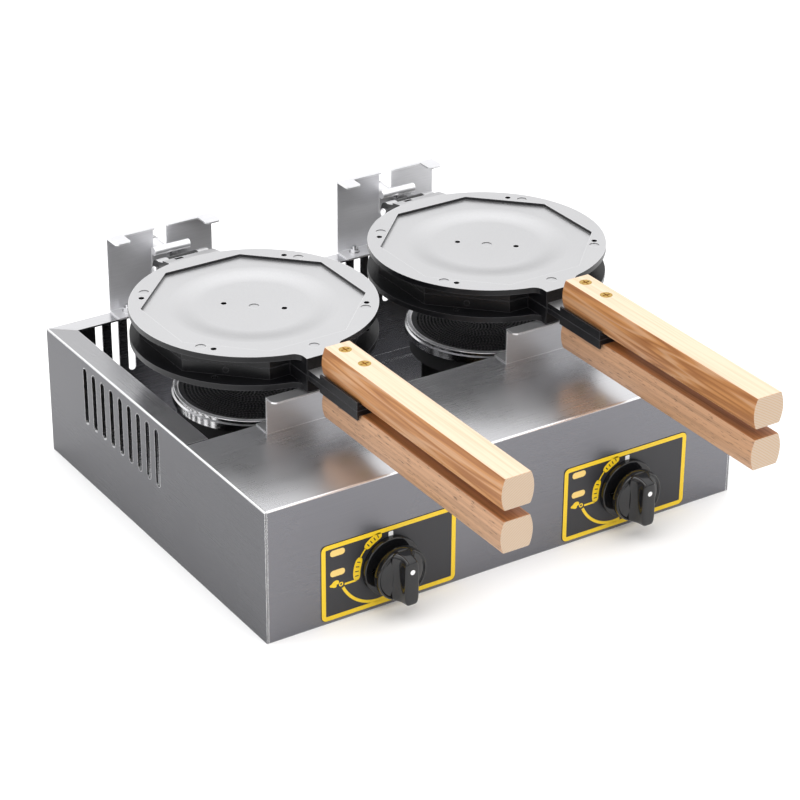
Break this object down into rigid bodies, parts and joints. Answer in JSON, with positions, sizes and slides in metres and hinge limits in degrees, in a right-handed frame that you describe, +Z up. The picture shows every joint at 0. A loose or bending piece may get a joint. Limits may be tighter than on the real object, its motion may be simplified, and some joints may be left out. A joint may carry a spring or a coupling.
{
  "type": "waffle cone maker",
  "caption": "Countertop gas waffle cone baker: round hinged moulds with wooden handles that turn over above burners in a vented steel box with control knobs.",
  "frame": {"origin": "on the floor, under the middle of the housing box", "axes": "+X to the right, +Y to the back, +Z up; the controls and handles face -Y"},
  "size_m": [0.464, 0.5865, 0.2025],
  "materials": {
    "steel_sheet": "brushed",
    "bright_steel": "polished",
    "cast_aluminium": "bead blasted, black coated sides",
    "dark_steel": "matt",
    "iron": "rough",
    "brass": "satin",
    "wood": "oiled beech",
    "black_plastic": "gloss",
    "label": "satin"
  },
  "bodies": {
    "housing": {"left_side_panel": "steel_sheet", "right_side_panel": "steel_sheet", "back_panel": "steel_sheet", "front_cover": "steel_sheet", "base_pan": "steel_sheet", "bracket_bolts": "bright_steel", "rest_screws": "bright_steel", "valve_screws": "bright_steel", "gas_manifold": "brass", "gas_inlet": "brass", "rear_bracket_left": "steel_sheet", "front_rest_left": "steel_sheet", "burner_body_left": "iron", "burner_ring_left": "bright_steel", "burner_plate_left": "dark_steel", "burner_bridge_left": "dark_steel", "gas_valve_left": "brass", "gas_jet_left": "brass", "control_label_left": "label", "escutcheon_left": "black_plastic", "rear_bracket_right": "steel_sheet", "front_rest_right": "steel_sheet", "burner_body_right": "iron", "burner_ring_right": "bright_steel", "burner_plate_right": "dark_steel", "burner_bridge_right": "dark_steel", "gas_valve_right": "brass", "gas_jet_right": "brass", "control_label_right": "label", "escutcheon_right": "black_plastic"},
    "saddle_left": {"tilt_saddle_left": "steel_sheet"},
    "lower_mould_left": {"lower_plate_left": "cast_aluminium", "hinge_pin_left": "bright_steel", "spigot_shaft_left": "bright_steel", "shaft_collar_left": "bright_steel", "lower_handle_left": "wood", "lower_handle_screws_left": "brass"},
    "upper_mould_left": {"upper_plate_left": "cast_aluminium", "upper_handle_left": "wood", "upper_handle_screws_left": "brass"},
    "plug_left": {"valve_plug_left": "brass"},
    "dial_left": {"valve_stem_left": "bright_steel", "valve_spring_left": "bright_steel", "knob_left": "black_plastic"},
    "saddle_right": {"tilt_saddle_right": "steel_sheet"},
    "lower_mould_right": {"lower_plate_right": "cast_aluminium", "hinge_pin_right": "bright_steel", "spigot_shaft_right": "bright_steel", "shaft_collar_right": "bright_steel", "lower_handle_right": "wood", "lower_handle_screws_right": "brass"},
    "upper_mould_right": {"upper_plate_right": "cast_aluminium", "upper_handle_right": "wood", "upper_handle_screws_right": "brass"},
    "plug_right": {"valve_plug_right": "brass"},
    "dial_right": {"valve_stem_right": "bright_steel", "valve_spring_right": "bright_steel", "knob_right": "black_plastic"}
  },
  "joints": [
    {"name": "lift_left", "type": "hinge", "parent": "housing", "child": "saddle_left", "pos_m": [-0.118, 0.18925, 0.17075], "axis": [-1, 0, 0], "range_deg": [0, 45]},
    {"name": "turn_over_left", "type": "hinge", "parent": "saddle_left", "child": "lower_mould_left", "pos_m": [-0.118, 0.18925, 0.17075], "axis": [0, 1, 0], "range_deg": [0, 180]},
    {"name": "open_left", "type": "hinge", "parent": "lower_mould_left", "child": "upper_mould_left", "pos_m": [-0.118, 0.147, 0.17075], "axis": [1, 0, 0], "range_deg": [-100, 0]},
    {"name": "knob_turn_left", "type": "hinge", "parent": "housing", "child": "plug_left", "pos_m": [-0.118, -0.17, 0.038], "axis": [0, 1, 0], "range_deg": [-210, 0]},
    {"name": "knob_push_left", "type": "slide", "parent": "plug_left", "child": "dial_left", "axis": [0, 1, 0], "range_m": [0, 0.004], "stiffness_N_per_m": 2000, "springref_m": -0.002},
    {"name": "lift_right", "type": "hinge", "parent": "housing", "child": "saddle_right", "pos_m": [0.118, 0.18925, 0.17075], "axis": [-1, 0, 0], "range_deg": [0, 45]},
    {"name": "turn_over_right", "type": "hinge", "parent": "saddle_right", "child": "lower_mould_right", "pos_m": [0.118, 0.18925, 0.17075], "axis": [0, 1, 0], "range_deg": [0, 180]},
    {"name": "open_right", "type": "hinge", "parent": "lower_mould_right", "child": "upper_mould_right", "pos_m": [0.118, 0.147, 0.17075], "axis": [1, 0, 0], "range_deg": [-100, 0]},
    {"name": "knob_turn_right", "type": "hinge", "parent": "housing", "child": "plug_right", "pos_m": [0.118, -0.17, 0.038], "axis": [0, 1, 0], "range_deg": [-210, 0]},
    {"name": "knob_push_right", "type": "slide", "parent": "plug_right", "child": "dial_right", "axis": [0, 1, 0], "range_m": [0, 0.004], "stiffness_N_per_m": 2000, "springref_m": -0.002}
  ],
  "couplings": [
    {"joint": "turn_over_left", "follows": "lift_left", "ratio": 4},
    {"joint": "turn_over_right", "follows": "lift_right", "ratio": 4}
  ]
}
